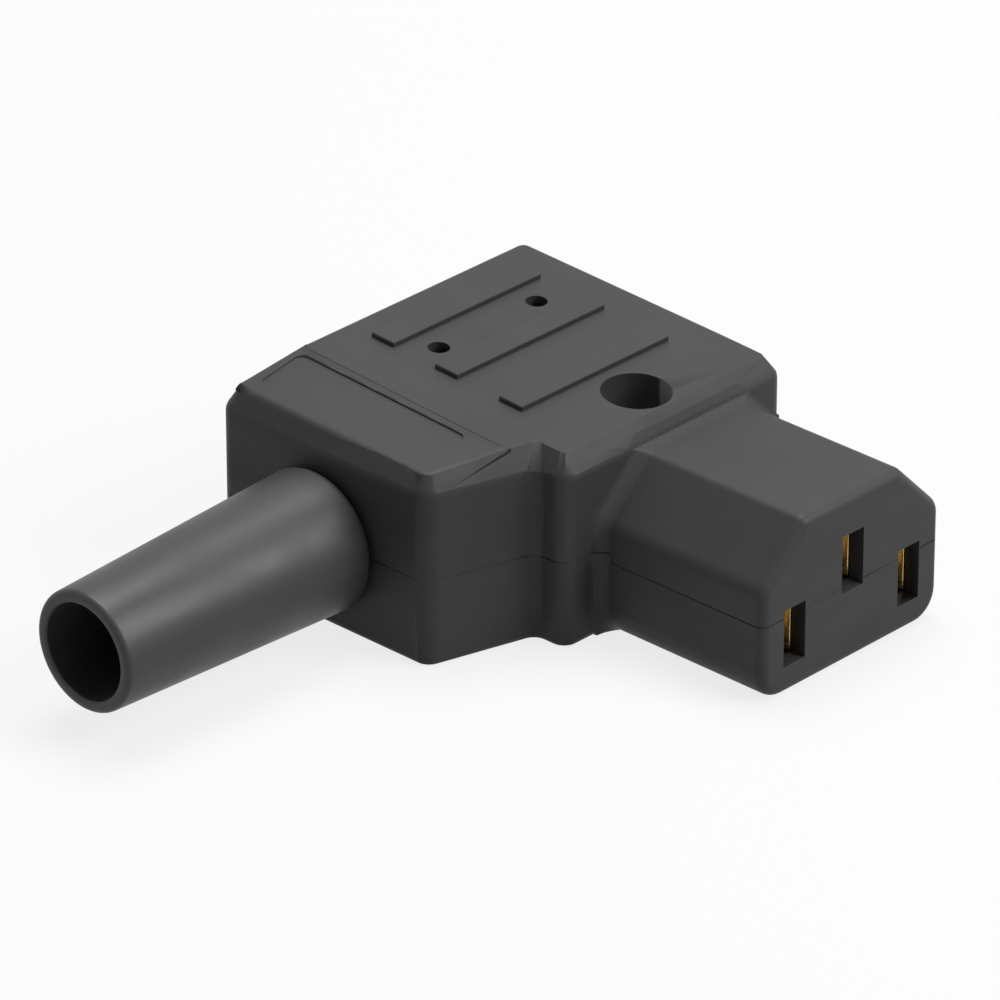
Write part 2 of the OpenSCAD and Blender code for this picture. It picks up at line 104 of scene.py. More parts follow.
class Weave:
    """Places and links shader nodes in one material."""

    def __init__(self, name: str) -> None:
        """Makes the material with a Principled shader and Object coordinates.

        Args:
            name: Name of the material.
        """
        self.material = bpy.data.materials.new(name)
        self.material.use_nodes = True
        self.tree = self.material.node_tree
        self.shader = self.tree.nodes["Principled BSDF"]
        self.place = self.tree.nodes.new("ShaderNodeTexCoord").outputs["Object"]

    def noise(self, scale: float, detail: float, roughness: float = 0.5) -> bpy.types.NodeSocket:
        """Adds a noise pattern on Object coordinates.

        Args:
            scale: Cells per metre.
            detail: Octaves of finer noise.
            roughness: Share of the finer octaves.

        Returns:
            The pattern's value, about 0 to 1.
        """
        node = self.tree.nodes.new("ShaderNodeTexNoise")
        node.inputs["Scale"].default_value = scale
        node.inputs["Detail"].default_value = detail
        node.inputs["Roughness"].default_value = roughness
        self.tree.links.new(self.place, node.inputs["Vector"])
        return node.outputs["Fac"]

    def stretched_noise(self, scale: float, stretch: tuple[float, float, float]) -> bpy.types.NodeSocket:
        """Adds noise that is drawn out along some axes, for flow lines and brushing.

        Args:
            scale: Cells per metre before stretching.
            stretch: Factor on each axis.

        Returns:
            The pattern's value, about 0 to 1.
        """
        mapping = self.tree.nodes.new("ShaderNodeMapping")
        mapping.inputs["Scale"].default_value = stretch
        node = self.tree.nodes.new("ShaderNodeTexNoise")
        node.inputs["Scale"].default_value = scale
        node.inputs["Detail"].default_value = 3
        self.tree.links.new(self.place, mapping.inputs["Vector"])
        self.tree.links.new(mapping.outputs["Vector"], node.inputs["Vector"])
        return node.outputs["Fac"]

    def spread(
        self, value: bpy.types.NodeSocket, low: float, high: float, start: float = 0.3, end: float = 0.7
    ) -> bpy.types.NodeSocket:
        """Maps a pattern onto a range of values.

        Args:
            value: The pattern.
            low: Result at start.
            high: Result at end.
            start: Pattern value that gives low.
            end: Pattern value that gives high.

        Returns:
            The mapped value.
        """
        node = self.tree.nodes.new("ShaderNodeMapRange")
        for name, number in (("From Min", start), ("From Max", end), ("To Min", low), ("To Max", high)):
            node.inputs[name].default_value = number
        self.tree.links.new(value, node.inputs["Value"])
        return node.outputs["Result"]

    def blend(
        self,
        share: bpy.types.NodeSocket,
        first: tuple[float, float, float],
        second: tuple[float, float, float],
    ) -> bpy.types.NodeSocket:
        """Mixes two colours by a pattern.

        Args:
            share: 0 for the first colour, 1 for the second.
            first: Linear colour.
            second: Linear colour.

        Returns:
            The mixed colour.
        """
        node = self.tree.nodes.new("ShaderNodeMix")
        node.data_type = "RGBA"
        node.inputs[6].default_value = (*first, 1)
        node.inputs[7].default_value = (*second, 1)
        self.tree.links.new(share, node.inputs["Factor"])
        return node.outputs[2]

    def bump(
        self,
        height: bpy.types.NodeSocket,
        strength: float,
        distance: float,
        under: bpy.types.NodeSocket | None = None,
    ) -> bpy.types.NodeSocket:
        """Turns a pattern into relief.

        Args:
            height: The pattern.
            strength: Strength of the relief.
            distance: Depth in metres.
            under: Relief that this one lies on.

        Returns:
            The bumped normal.
        """
        node = self.tree.nodes.new("ShaderNodeBump")
        node.inputs["Strength"].default_value = strength
        node.inputs["Distance"].default_value = distance
        self.tree.links.new(height, node.inputs["Height"])
        if under is not None:
            self.tree.links.new(under, node.inputs["Normal"])
        return node.outputs["Normal"]

    def set(self, **values: float | bpy.types.NodeSocket) -> None:
        """Sets or links inputs of the shader, with underscores for the spaces in their names.

        Args:
            **values: A number or colour to set, or a socket to link.
        """
        for name, value in values.items():
            socket = self.shader.inputs[name.replace("_", " ")]
            if isinstance(value, bpy.types.NodeSocket):
                self.tree.links.new(value, socket)
            else:
                socket.default_value = value


def lighter(colour: tuple[float, float, float], factor: float) -> tuple[float, float, float]:
    """Scales a colour's brightness.

    Args:
        colour: Linear colour.
        factor: Factor on each channel.

    Returns:
        The scaled colour.
    """
    return tuple(c * factor for c in colour)


@dataclass(frozen=True)
class MouldedBlack:
    """Satin black thermoplastic with fine mould grain, faint flow marks and handling sheen."""

    name: str
    colour: tuple[float, float, float]
    roughness: float
    grain: float
    relief: float
    mottle: float
    shine: float = 0.2
    clouds: float = 95
    flow: float = 160
    flow_stretch: tuple[float, float, float] = (0.35, 1.0, 2.2)
    waves: float = 420
    wave_depth: float = 0.00001
    grain_depth: float = 0.000012

    def make(self) -> bpy.types.Material:
        """Builds the material.

        Returns:
            The finished material.
        """
        w = Weave(self.name)
        cloud = w.noise(self.clouds, 3)
        flow = w.stretched_noise(self.flow, self.flow_stretch)
        tone = w.spread(cloud, 0.0, 1.0, 0.32, 0.68)
        dark, pale = (lighter(self.colour, 1 + change) for change in (-self.mottle, self.mottle))
        w.set(
            Base_Color=w.blend(tone, dark, pale),
            Roughness=w.spread(flow, self.roughness - 0.05, self.roughness + 0.07),
            Specular_IOR_Level=self.shine,
            IOR=1.5,
        )
        waves = w.bump(w.noise(self.waves, 2), 0.35, self.wave_depth)
        w.set(Normal=w.bump(w.noise(self.grain, 2, 0.6), self.relief, self.grain_depth, waves))
        return w.material


@dataclass(frozen=True)
class Metal:
    """Bare metal with drawn or turned marks and a little dulling."""

    name: str
    colour: tuple[float, float, float]
    dull: tuple[float, float, float]
    roughness: float
    stretch: tuple[float, float, float]
    marks: float = 2600
    mark_depth: float = 0.000006
    stains: float = 260

    def make(self) -> bpy.types.Material:
        """Builds the material.

        Returns:
            The finished material.
        """
        w = Weave(self.name)
        marks = w.stretched_noise(self.marks, self.stretch)
        stain = w.spread(w.noise(self.stains, 4), 0.0, 1.0, 0.45, 0.75)
        w.set(
            Base_Color=w.blend(stain, self.colour, self.dull),
            Roughness=w.spread(marks, self.roughness - 0.07, self.roughness + 0.1),
            Metallic=1.0,
        )
        w.set(Normal=w.bump(marks, 0.25, self.mark_depth))
        return w.material


FINISHES = {
    Slot.SHELL: MouldedBlack("shell_black", (0.027, 0.027, 0.028), 0.52, 5200, 0.5, 0.06),
    Slot.SLEEVE: MouldedBlack("sleeve_black", (0.026, 0.026, 0.027), 0.44, 3800, 0.35, 0.09, 0.3),
    Slot.CLAMP: MouldedBlack("clamp_plastic", (0.07, 0.07, 0.072), 0.5, 5200, 0.5, 0.05),
    Slot.CONTACT: Metal("contact_brass", (0.72, 0.5, 0.2), (0.5, 0.33, 0.13), 0.28, (0.2, 1, 1)),
    Slot.TERMINAL: Metal("terminal_brass", (0.66, 0.46, 0.2), (0.42, 0.28, 0.12), 0.34, (1, 0.3, 1)),
    Slot.SCREW: Metal("screw_steel", (0.6, 0.6, 0.58), (0.38, 0.38, 0.38), 0.3, (1, 1, 0.25)),
}


class FinishShelf:
    """Makes each finish once and hands it out."""

    def __init__(self) -> None:
        """Starts with nothing made."""
        self._made: dict[Slot, bpy.types.Material] = {}

    def of(self, slot: Slot) -> bpy.types.Material:
        """Gives the material for a slot, and makes it at first use.

        Args:
            slot: Material slot of the record.

        Returns:
            The material.
        """
        if slot not in self._made:
            self._made[slot] = FINISHES[slot].make()
        return self._made[slot]


# ---------------------------------------------------------------- node trees


class GeometryTree:
    """A geometry node tree with named inputs, which ends in Realize Instances and Set Material."""

    def __init__(self, name: str, inputs: dict[str, str]) -> None:
        """Makes the tree, its inputs and its end nodes.

        Args:
            name: Name of the tree.
            inputs: Socket type of each named input.
        """
        self.tree = bpy.data.node_groups.new(name, "GeometryNodeTree")
        face = self.tree.interface
        face.new_socket(name="Geometry", in_out="OUTPUT", socket_type="NodeSocketGeometry")
        face.new_socket(name="Shape", in_out="INPUT", socket_type="NodeSocketGeometry")
        self.keys = {
            n: face.new_socket(name=n, in_out="INPUT", socket_type=t).identifier for n, t in inputs.items()
        }
        self.start = self.tree.nodes.new("NodeGroupInput")
        self.end = self.tree.nodes.new("NodeGroupOutput")

    def node(
        self, kind: str, inputs: dict[str | int, object] | None = None, **settings: str
    ) -> bpy.types.Node:
        """Adds a node and fills its inputs.

        Args:
            kind: Type of the node.
            inputs: Value or source socket of each input.
            **settings: Properties of the node.

        Returns:
            The node.
        """
        made = self.tree.nodes.new(kind)
        for key, value in settings.items():
            setattr(made, key, value)
        for key, value in (inputs or {}).items():
            if isinstance(value, bpy.types.NodeSocket):
                self.tree.links.new(value, made.inputs[key])
            else:
                made.inputs[key].default_value = value
        return made

    def close(self, geometry: bpy.types.NodeSocket) -> None:
        """Ends the tree.

        Args:
            geometry: What the tree has made.
        """
        real = self.node("GeometryNodeRealizeInstances", {"Geometry": geometry})
        last = self.node(
            "GeometryNodeSetMaterial",
            {"Geometry": real.outputs[0], "Material": self.start.outputs["Material"]},
        )
        self.tree.links.new(last.outputs[0], self.end.inputs["Geometry"])

    def run(self, shape: bpy.types.Mesh, **values: object) -> bpy.types.Mesh:
        """Evaluates the tree on a mesh.

        Args:
            shape: The mesh that the tree starts from.
            **values: Value of each named input, with underscores for spaces.

        Returns:
            The plain mesh that the tree makes.
        """
        holder = bpy.data.objects.new("holder", shape)
        bpy.context.scene.collection.objects.link(holder)
        modifier = holder.modifiers.new("tree", "NODES")
        modifier.node_group = self.tree
        for key, value in values.items():
            modifier[self.keys[key.replace("_", " ")]] = value
        depsgraph = bpy.context.evaluated_depsgraph_get()
        made = bpy.data.meshes.new_from_object(holder.evaluated_get(depsgraph))
        holder.modifiers.remove(modifier)
        bpy.data.objects.remove(holder)
        return made


class Lathe(GeometryTree):
    """Turns a profile about Z. The profile is a row of points with x for radius and z for height."""

    def __init__(self) -> None:
        """Builds the tree."""
        super().__init__(
            "lathe", {"Steps": "NodeSocketInt", "Points": "NodeSocketInt", "Material": "NodeSocketMaterial"}
        )
        source = self.start.outputs
        columns = self.node("ShaderNodeMath", {0: source["Steps"], 1: 1.0}, operation="ADD")
        grid = self.node(
            "GeometryNodeMeshGrid", {"Vertices X": columns.outputs[0], "Vertices Y": source["Points"]}
        )
        index = self.node("GeometryNodeInputIndex").outputs[0]
        row = self.node("ShaderNodeMath", {0: index, 1: source["Points"]}, operation="MODULO")
        ratio = self.node("ShaderNodeMath", {0: index, 1: source["Points"]}, operation="DIVIDE")
        column = self.node("ShaderNodeMath", {0: ratio.outputs[0]}, operation="FLOOR")
        turn = self.node("ShaderNodeMath", {0: column.outputs[0], 1: source["Steps"]}, operation="DIVIDE")
        angle = self.node("ShaderNodeMath", {0: turn.outputs[0], 1: math.tau}, operation="MULTIPLY")
        point = self.node(
            "GeometryNodeSampleIndex",
            {
                "Geometry": source["Shape"],
                "Value": self.node("GeometryNodeInputPosition").outputs[0],
                "Index": row.outputs[0],
            },
            data_type="FLOAT_VECTOR",
            domain="POINT",
        )
        place = self.node(
            "ShaderNodeVectorRotate",
            {"Vector": point.outputs[0], "Angle": angle.outputs[0]},
            rotation_type="Z_AXIS",
        )
        skin = self.node(
            "GeometryNodeSetPosition", {"Geometry": grid.outputs["Mesh"], "Position": place.outputs[0]}
        )
        whole = self.node(
            "GeometryNodeMergeByDistance", {"Geometry": skin.outputs[0], "Distance": LATHE_WELD}
        )
        self.close(whole.outputs[0])


class Row(GeometryTree):
    """Repeats a shape at an even pitch."""

    def __init__(self) -> None:
        """Builds the tree."""
        super().__init__(
            "row",
            {
                "Count": "NodeSocketInt",
                "Start": "NodeSocketVector",
                "Pitch": "NodeSocketVector",
                "Material": "NodeSocketMaterial",
            },
        )
        source = self.start.outputs
        line = self.node(
            "GeometryNodeMeshLine",
            {"Count": source["Count"], "Start Location": source["Start"], "Offset": source["Pitch"]},
        )
        copies = self.node(
            "GeometryNodeInstanceOnPoints", {"Points": line.outputs[0], "Instance": source["Shape"]}
        )
        self.close(copies.outputs[0])


class Seam(GeometryTree):
    """Sweeps a fine diamond section along a closed path of points and edges."""

    def __init__(self) -> None:
        """Builds the tree."""
        super().__init__("seam", {"Depth": "NodeSocketFloat", "Material": "NodeSocketMaterial"})
        source = self.start.outputs
        path = self.node("GeometryNodeMeshToCurve", {"Mesh": source["Shape"]})
        section = self.node(
            "GeometryNodeCurvePrimitiveCircle", {"Resolution": 4, "Radius": source["Depth"]}
        )
        groove = self.node(
            "GeometryNodeCurveToMesh", {"Curve": path.outputs[0], "Profile Curve": section.outputs[0]}
        )
        self.close(groove.outputs[0])


# ---------------------------------------------------------------- mesh helpers


def mesh_of(bm: bmesh.types.BMesh, name: str) -> bpy.types.Mesh:
    """Writes a bmesh to a new mesh and frees it.

    Args:
        bm: The working mesh.
        name: Name of the new mesh.

    Returns:
        The new mesh.
    """
    mesh = bpy.data.meshes.new(name)
    bm.to_mesh(mesh)
    bm.free()
    return mesh


def piece(
    name: str, mesh: bpy.types.Mesh, slot: Slot, shelf: FinishShelf, *nodes: str
) -> bpy.types.Object:
    """Puts a finished piece into the scene in place of CAD nodes.

    Args:
        name: Name of the piece.
        mesh: Its mesh, already in place.
        slot: Material slot of the record.
        shelf: Source of the finish.
        *nodes: CAD nodes that the piece stands for.

    Returns:
        The new object.
    """
    mesh.materials.clear()
    mesh.materials.append(shelf.of(slot))
    made = bpy.data.objects.new(name, mesh)
    bpy.context.scene.collection.objects.link(made)
    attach(made, "root")
    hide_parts(*nodes)
    LOG.info("%s: %d faces, for %s", name, len(mesh.polygons), ", ".join(nodes))
    return made


def merged_copy(node: str) -> bmesh.types.BMesh:
    """Copies a CAD node, joins its loose triangles and clears the edges inside flat faces.

    Args:
        node: Name of the CAD node.

    Returns:
        The working mesh.
    """
    bm = bmesh.new()
    bm.from_mesh(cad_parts[node].data)
    bmesh.ops.remove_doubles(bm, verts=bm.verts, dist=SOLID_WELD)
    bmesh.ops.dissolve_limit(
        bm,
        angle_limit=math.radians(SOLID_FLAT),
        verts=bm.verts,
        edges=bm.edges,
        use_dissolve_boundaries=False,
    )
    return bm


def softened(
    bm: bmesh.types.BMesh,
    name: str,
    width: float,
    share: Callable[[bmesh.types.BMEdge], float] = lambda edge: 1.0,
    sharpest: float = 30,
    segments: int = 2,
) -> bpy.types.Mesh:
    """Rounds the edges of a working mesh a little, as a mould or a tool leaves them.

    Args:
        bm: The working mesh.
        name: Name of the result.
        width: Width of the rounding in metres.
        share: Share of the width that an edge gets.
        sharpest: Angle in degrees from which an edge counts as an edge.
        segments: Facets across the rounding.

    Returns:
        The softened mesh, shaded smooth.
    """
    weights = bm.edges.layers.float.new("bevel_weight_edge")
    for edge in bm.edges:
        bent = len(edge.link_faces) == 2 and edge.calc_face_angle(0) > math.radians(sharpest)
        edge[weights] = share(edge) if bent else 0.0
    for face in bm.faces:
        face.smooth = True
    holder = bpy.data.objects.new("holder", mesh_of(bm, name))
    bpy.context.scene.collection.objects.link(holder)
    bevel = holder.modifiers.new("edge", "BEVEL")
    bevel.limit_method = "WEIGHT"
    bevel.width = width
    bevel.segments = segments
    bevel.use_clamp_overlap = False
    bevel.harden_normals = True
    depsgraph = bpy.context.evaluated_depsgraph_get()
    mesh = bpy.data.meshes.new_from_object(holder.evaluated_get(depsgraph))
    bpy.data.objects.remove(holder)
    mesh.name = name
    return mesh


def combined(first: bpy.types.Mesh, second: bpy.types.Mesh, how: Join) -> bpy.types.Mesh:
    """Joins, cuts or trims one closed mesh by another.

    Args:
        first: The mesh that is worked on.
        second: The mesh that it is joined to, cut by or trimmed to.
        how: Kind of operation.

    Returns:
        The resulting mesh.
    """
    holder = bpy.data.objects.new("holder", first)
    tool = bpy.data.objects.new("tool", second)
    for made in (holder, tool):
        bpy.context.scene.collection.objects.link(made)
    modifier = holder.modifiers.new("join", "BOOLEAN")
    modifier.operation = how.value
    modifier.solver = "MANIFOLD"
    modifier.object = tool
    depsgraph = bpy.context.evaluated_depsgraph_get()
    mesh = bpy.data.meshes.new_from_object(holder.evaluated_get(depsgraph))
    for made in (holder, tool):
        bpy.data.objects.remove(made)
    return mesh


def quarter_turn(step: int) -> list[float]:
    """Gives the angles of a quarter turn.

    Args:
        step: Degrees from one angle to the next.

    Returns:
        The angles in radians, from 0 to 90 degrees.
    """
    return [math.radians(a) for a in range(0, 91, step)]


def moved_in(outline: Outline, distance: float) -> Outline:
    """Moves every side of an outline inwards.

    Args:
        outline: Corners, going round against the clock.
        distance: Distance inwards, or outwards when negative.

    Returns:
        The new corners.
    """
    count = len(outline)
    result = []
    for i, corner in enumerate(outline):
        before = (Vector(corner) - Vector(outline[i - 1])).normalized()
        after = (Vector(outline[(i + 1) % count]) - Vector(corner)).normalized()
        left, right = Vector((-before.y, before.x)), Vector((-after.y, after.x))
        result.append(tuple(Vector(corner) + distance * (left + right) / (1 + left.dot(right))))
    return result


def rounded(outline: Outline, radii: Iterable[float], steps: int) -> Outline:
    """Rounds the corners of an outline.

    Args:
        outline: Corners, going round against the clock.
        radii: Radius of each corner.
        steps: Sides in each round.

    Returns:
        The points of the rounded outline, steps + 1 for each corner.
    """
    result = []
    count = len(outline)
    for i, (corner, radius) in enumerate(zip(outline, radii)):
        here = Vector(corner)
        back = (Vector(outline[i - 1]) - here).normalized()
        on = (Vector(outline[(i + 1) % count]) - here).normalized()
        half = math.acos(max(-1.0, min(1.0, back.dot(on)))) / 2
        centre = here + (back + on).normalized() * radius / math.sin(half)
        first = (here + back * radius / math.tan(half) - centre).normalized()
        last = (here + on * radius / math.tan(half) - centre).normalized()
        swing = first.angle_signed(last)
        for k in range(steps + 1):
            turn = Matrix.Rotation(-swing * k / steps, 2)
            result.append(tuple(centre + turn @ first * radius))
    return result


def lofted(loops: list[list[Vector]], name: str) -> bpy.types.Mesh:
    """Skins a stack of loops that have the same number of points, and closes both ends.

    Args:
        loops: The loops, in order.
        name: Name of the mesh.

    Returns:
        The closed mesh.
    """
    bm = bmesh.new()
    rows = [[bm.verts.new(p) for p in loop] for loop in loops]
    count = len(rows[0])
    for low, high in zip(rows, rows[1:]):
        for i in range(count):
            k = (i + 1) % count
            bm.faces.new((low[i], low[k], high[k], high[i]))
    bm.faces.new(list(reversed(rows[0])))
    bm.faces.new(rows[-1])
    bmesh.ops.recalc_face_normals(bm, faces=bm.faces)
    return mesh_of(bm, name)


def shaded(mesh: bpy.types.Mesh, name: str, angle: float = 28) -> bpy.types.Mesh:
    """Shades a mesh smooth up to an angle, with flat faces kept flat.

    Args:
        mesh: The mesh.
        name: Name of the result.
        angle: Angle in degrees above which an edge stays sharp.

    Returns:
        The shaded mesh.
    """
    bm = bmesh.new()
    bm.from_mesh(mesh)
    bmesh.ops.remove_doubles(bm, verts=bm.verts, dist=SHADED_WELD)
    bmesh.ops.dissolve_degenerate(bm, edges=bm.edges, dist=SLIVER)
    for face in bm.faces:
        face.smooth = True
    clean = mesh_of(bm, name)
    clean.set_sharp_from_angle(angle=math.radians(angle))
    holder = bpy.data.objects.new("holder", clean)
    bpy.context.scene.collection.objects.link(holder)
    weighted = holder.modifiers.new("normals", "WEIGHTED_NORMAL")
    weighted.keep_sharp = True
    weighted.weight = 100
    depsgraph = bpy.context.evaluated_depsgraph_get()
    result = bpy.data.meshes.new_from_object(holder.evaluated_get(depsgraph))
    bpy.data.objects.remove(holder)
    result.name = name
    return result


# ---------------------------------------------------------------- sub-assemblies


@dataclass
class Housing:
    """The two moulded half shells, with the rounded edges and the sloping band of the moulding."""

    shelf: FinishShelf
    row: Row
    seam: Seam
    skin: float = 0.01 * MM
    end_x: float = 11.8 * MM
    end_y: float = -24.9 * MM
    rear_y: float = 11.6 * MM
    front_x: float = 18.0 * MM
    step_y: float = -15.0 * MM
    slant: float = 2.9 * MM
    height: float = 19.0 * MM
    top_fall: float = 1.7 * MM
    band_z: float = 15.6 * MM
    band_in: float = 1.65 * MM
    ramp_len: float = 8.0 * MM
    ramp_drop: tuple[float, float] = (1.4 * MM, 0.4 * MM)
    ramp_skin: float = 0.05 * MM
    panel_depth: float = 0.15 * MM
    panel_x: float = 9.45 * MM
    panel_y: tuple[float, float] = (-22.55 * MM, -17.5 * MM)
    panel_corner: float = 0.8 * MM
    over: float = 1.0 * MM
    clear: float = 10 * MM
    room_half: float = 50 * MM
    corner: float = 1.4 * MM
    rim: float = 0.4 * MM
    foot_z: float = 0.1 * MM
    foot_share: float = 0.1
    upright_share: float = 0.7
    steep: float = 0.7
    bend: float = 21
    facets: int = 5
    nose_half: float = 10.9 * MM
    nose_height: float = 15.3 * MM
    nose_len: float = 17.8 * MM
    nose_chamfer: float = 5.0 * MM
    nose_radii: tuple[float, ...] = (2.65 * MM, 2.65 * MM, 2.0 * MM, 1.1 * MM, 1.1 * MM, 2.0 * MM)
    nose_edge: float = 0.9 * MM
    nose_sunk: float = 1.5 * MM
    nose_steps: int = 8
    root: float = 1.3 * MM
    flare_stop: float = 0.6 * MM
    flare_step: int = 10
    edge_step: int = 15
    rib_count: int = 3
    rib_edge: float = 0.13 * MM
    rib_facets: int = 3
    rib_x: float = -4.8 * MM
    rib_y: float = -11.4 * MM
    rib_size: tuple[float, float, float] = (2.6 * MM, 17.9 * MM, 0.45 * MM)
    rib_pitch: float = 7.25 * MM
    rib_root: float = 0.5 * MM
    parting_z: float = 7.9 * MM
    nose_parting_z: float = 7.1 * MM
    seam_depth: float = 0.07 * MM
    seam_steps: int = 6
    corners_before_nose: int = 4

    def outline(self) -> Outline:
        """Gives the corners of the housing, seen from above.

        Returns:
            The corners, going round against the clock.
        """
        x, y = self.end_x, self.end_y
        corners = [
            (-x, y),
            (x, y),
            (x + self.slant, self.step_y),
            (self.front_x, self.step_y),
            (self.front_x, self.rear_y),
            (-x, self.rear_y),
        ]
        return moved_in(corners, self.skin)

    def top_at(self, x: float) -> float:
        """Gives the height of the tilted top.

        Args:
            x: Place across the housing.

        Returns:
            The height there.
        """
        return self.height - (x + self.end_x) * self.top_fall / (self.front_x + self.end_x)

    def ramp_cutter(self, sunk: float, strips: int = 16) -> bpy.types.Mesh:
        """Makes the space above the sloping area at the cable end.

        Args:
            sunk: How far the space reaches down below the sloping area.
            strips: Strips across the sloping area, which twists from side to side.

        Returns:
            The closed mesh of the space.
        """
        x0, x1 = -self.end_x - self.over, self.end_x + self.slant + self.over
        y0, y1 = self.end_y - self.over, self.end_y + self.ramp_len
        run = (y1 - y0) / self.ramp_len
        roof = self.height + self.clear
        loops = []
        for i in range(strips + 1):
            x = x0 + (x1 - x0) * i / strips
            share = (x + self.end_x) / (2 * self.end_x)
            drop = self.ramp_drop[0] + (self.ramp_drop[1] - self.ramp_drop[0]) * share
            top = self.top_at(x) - sunk
            corners = ((x, y0, top - drop * run), (x, y1, top), (x, y1, roof), (x, y0, roof))
            loops.append([Vector(p) for p in corners])
        return lofted(loops, "ramp_space")

    def body(self) -> bpy.types.Mesh:
        """Makes the body: upright walls, the sloping band, the tilted top and the sloping area.

        Returns:
            The body with its edges rounded.
        """
        flat = self.outline()
        high = moved_in(flat, self.band_in)
        levels = ((flat, self.skin), (flat, self.band_z), (high, self.height))
        block = lofted([[Vector((*p, z)) for p in points] for points, z in levels], "body")
        bm = bmesh.new()
        bm.from_mesh(block)
        rise = Vector((self.top_fall, 0, self.front_x + self.end_x)).normalized()
        cut = bmesh.ops.bisect_plane(
            bm,
            geom=bm.verts[:] + bm.edges[:] + bm.faces[:],
            plane_co=(-self.end_x, 0, self.height - self.skin),
            plane_no=rise,
            clear_outer=True,
        )
        rim = [e for e in cut["geom_cut"] if isinstance(e, bmesh.types.BMEdge)]
        bmesh.ops.contextual_create(bm, geom=rim)
        block = combined(mesh_of(bm, "body"), self.ramp_cutter(self.ramp_skin), Join.CUT)
        bm = bmesh.new()
        bm.from_mesh(block)
        bmesh.ops.remove_doubles(bm, verts=bm.verts, dist=SHELL_WELD)
        bmesh.ops.dissolve_limit(bm, angle_limit=math.radians(BODY_FLAT), verts=bm.verts, edges=bm.edges)
        return softened(bm, "body", self.corner, self.body_rounding, self.bend, self.facets)

    def panel(self) -> bpy.types.Mesh:
        """Makes the space of the plain sunk panel on the sloping area.

        Returns:
            The closed mesh of the space.
        """
        (y0, y1), x = self.panel_y, self.panel_x
        corners = [(-x, y0), (x, y0), (x, y1), (-x, y1)]
        corners = rounded(corners, [self.panel_corner] * len(corners), self.seam_steps)
        plate = lofted([[Vector((*p, z)) for p in corners] for z in (self.parting_z, self.height)], "plate")
        return combined(plate, self.ramp_cutter(self.ramp_skin + self.panel_depth), Join.TRIM)

    def body_rounding(self, edge: bmesh.types.BMEdge) -> float:
        """Gives an edge of the body its share of the corner radius.

        Args:
            edge: An edge of the body.

        Returns:
            The share, 1 for the upright corners of the walls.
        """
        low, high = sorted(v.co.z for v in edge.verts)
        if high < self.foot_z:
            return self.foot_share
        if low < self.foot_z:
            return 1.0
        upright = high - low > self.steep * edge.calc_length()
        return self.upright_share if upright else self.rim / self.corner

    def nose_loop(self, x: float, inwards: float, top: float) -> list[Vector]:
        """Gives one loop of the nose.

        Args:
            x: Place along the nose.
            inwards: How far the loop is moved in.
            top: Height that it doesn't pass.

        Returns:
            The points of the loop.
        """
        w, h, c = self.nose_half, self.nose_height, self.nose_chamfer
        section = [(-w, 0.0), (w, 0.0), (w, h - c), (w - c, h), (c - w, h), (-w, h - c)]
        radii = [r - inwards for r in self.nose_radii]
        points = rounded(moved_in(section, inwards), radii, self.nose_steps)
        return [Vector((x, y, min(z, top))) for y, z in points]

    def nose(self) -> bpy.types.Mesh:
        """Makes the keyed nose, whose sides flare into the front wall.

        Returns:
            The closed mesh.
        """
        tip_x = self.front_x + self.nose_len - self.skin
        loops = [self.nose_loop(self.front_x - self.nose_sunk, self.skin - self.root, self.band_z)]
        for a in quarter_turn(self.flare_step):
            x = self.front_x + self.root * (1 - math.cos(a))
            out = self.root * (1 - math.sin(a))
            top = self.nose_height - self.skin + (self.band_z - self.nose_height) * (1 - math.sin(a))
            loops.append(self.nose_loop(x, self.skin - out, top))
        for a in quarter_turn(self.edge_step):
            x = tip_x - self.nose_edge * (1 - math.sin(a))
            inwards = self.skin + self.nose_edge * (1 - math.cos(a))
            loops.append(self.nose_loop(x, inwards, self.nose_height))
        nose = lofted(loops, "nose")
        side, stop_y = self.room_half, self.rear_y - self.flare_stop
        block = [(-side, -side), (side, -side), (side, stop_y), (-side, stop_y)]
        room = lofted([[Vector((*p, z)) for p in block] for z in (-side, side)], "room")
        return combined(nose, room, Join.TRIM)

    def ribs(self) -> bpy.types.Mesh:
        """Makes the row of grip ribs on the tilted top.

        Returns:
            The closed meshes of the ribs.
        """
        width, length, height = (v - self.skin for v in self.rib_size)
        tilt = math.atan(self.top_fall / (self.front_x + self.end_x))
        bm = bmesh.new()
        bmesh.ops.create_cube(bm, size=1)
        size = (width - self.skin, length - self.skin, height + self.rib_root)
        place = (-self.rib_size[0] / 2, self.rib_size[1] / 2, (height - self.rib_root) / 2)
        bmesh.ops.scale(bm, verts=bm.verts, vec=size)
        bmesh.ops.translate(bm, verts=bm.verts, vec=place)
        rib = softened(bm, "rib", self.rib_edge, segments=self.rib_facets)
        rib.transform(Matrix.Rotation(tilt, 4, "Y"))
        pitch = (self.rib_pitch, 0, -self.rib_pitch * math.tan(tilt))
        return self.row.run(
            rib,
            Count=self.rib_count,
            Start=(self.rib_x, self.rib_y, self.top_at(self.rib_x)),
            Pitch=pitch,
            Material=self.shelf.of(Slot.SHELL),
        )

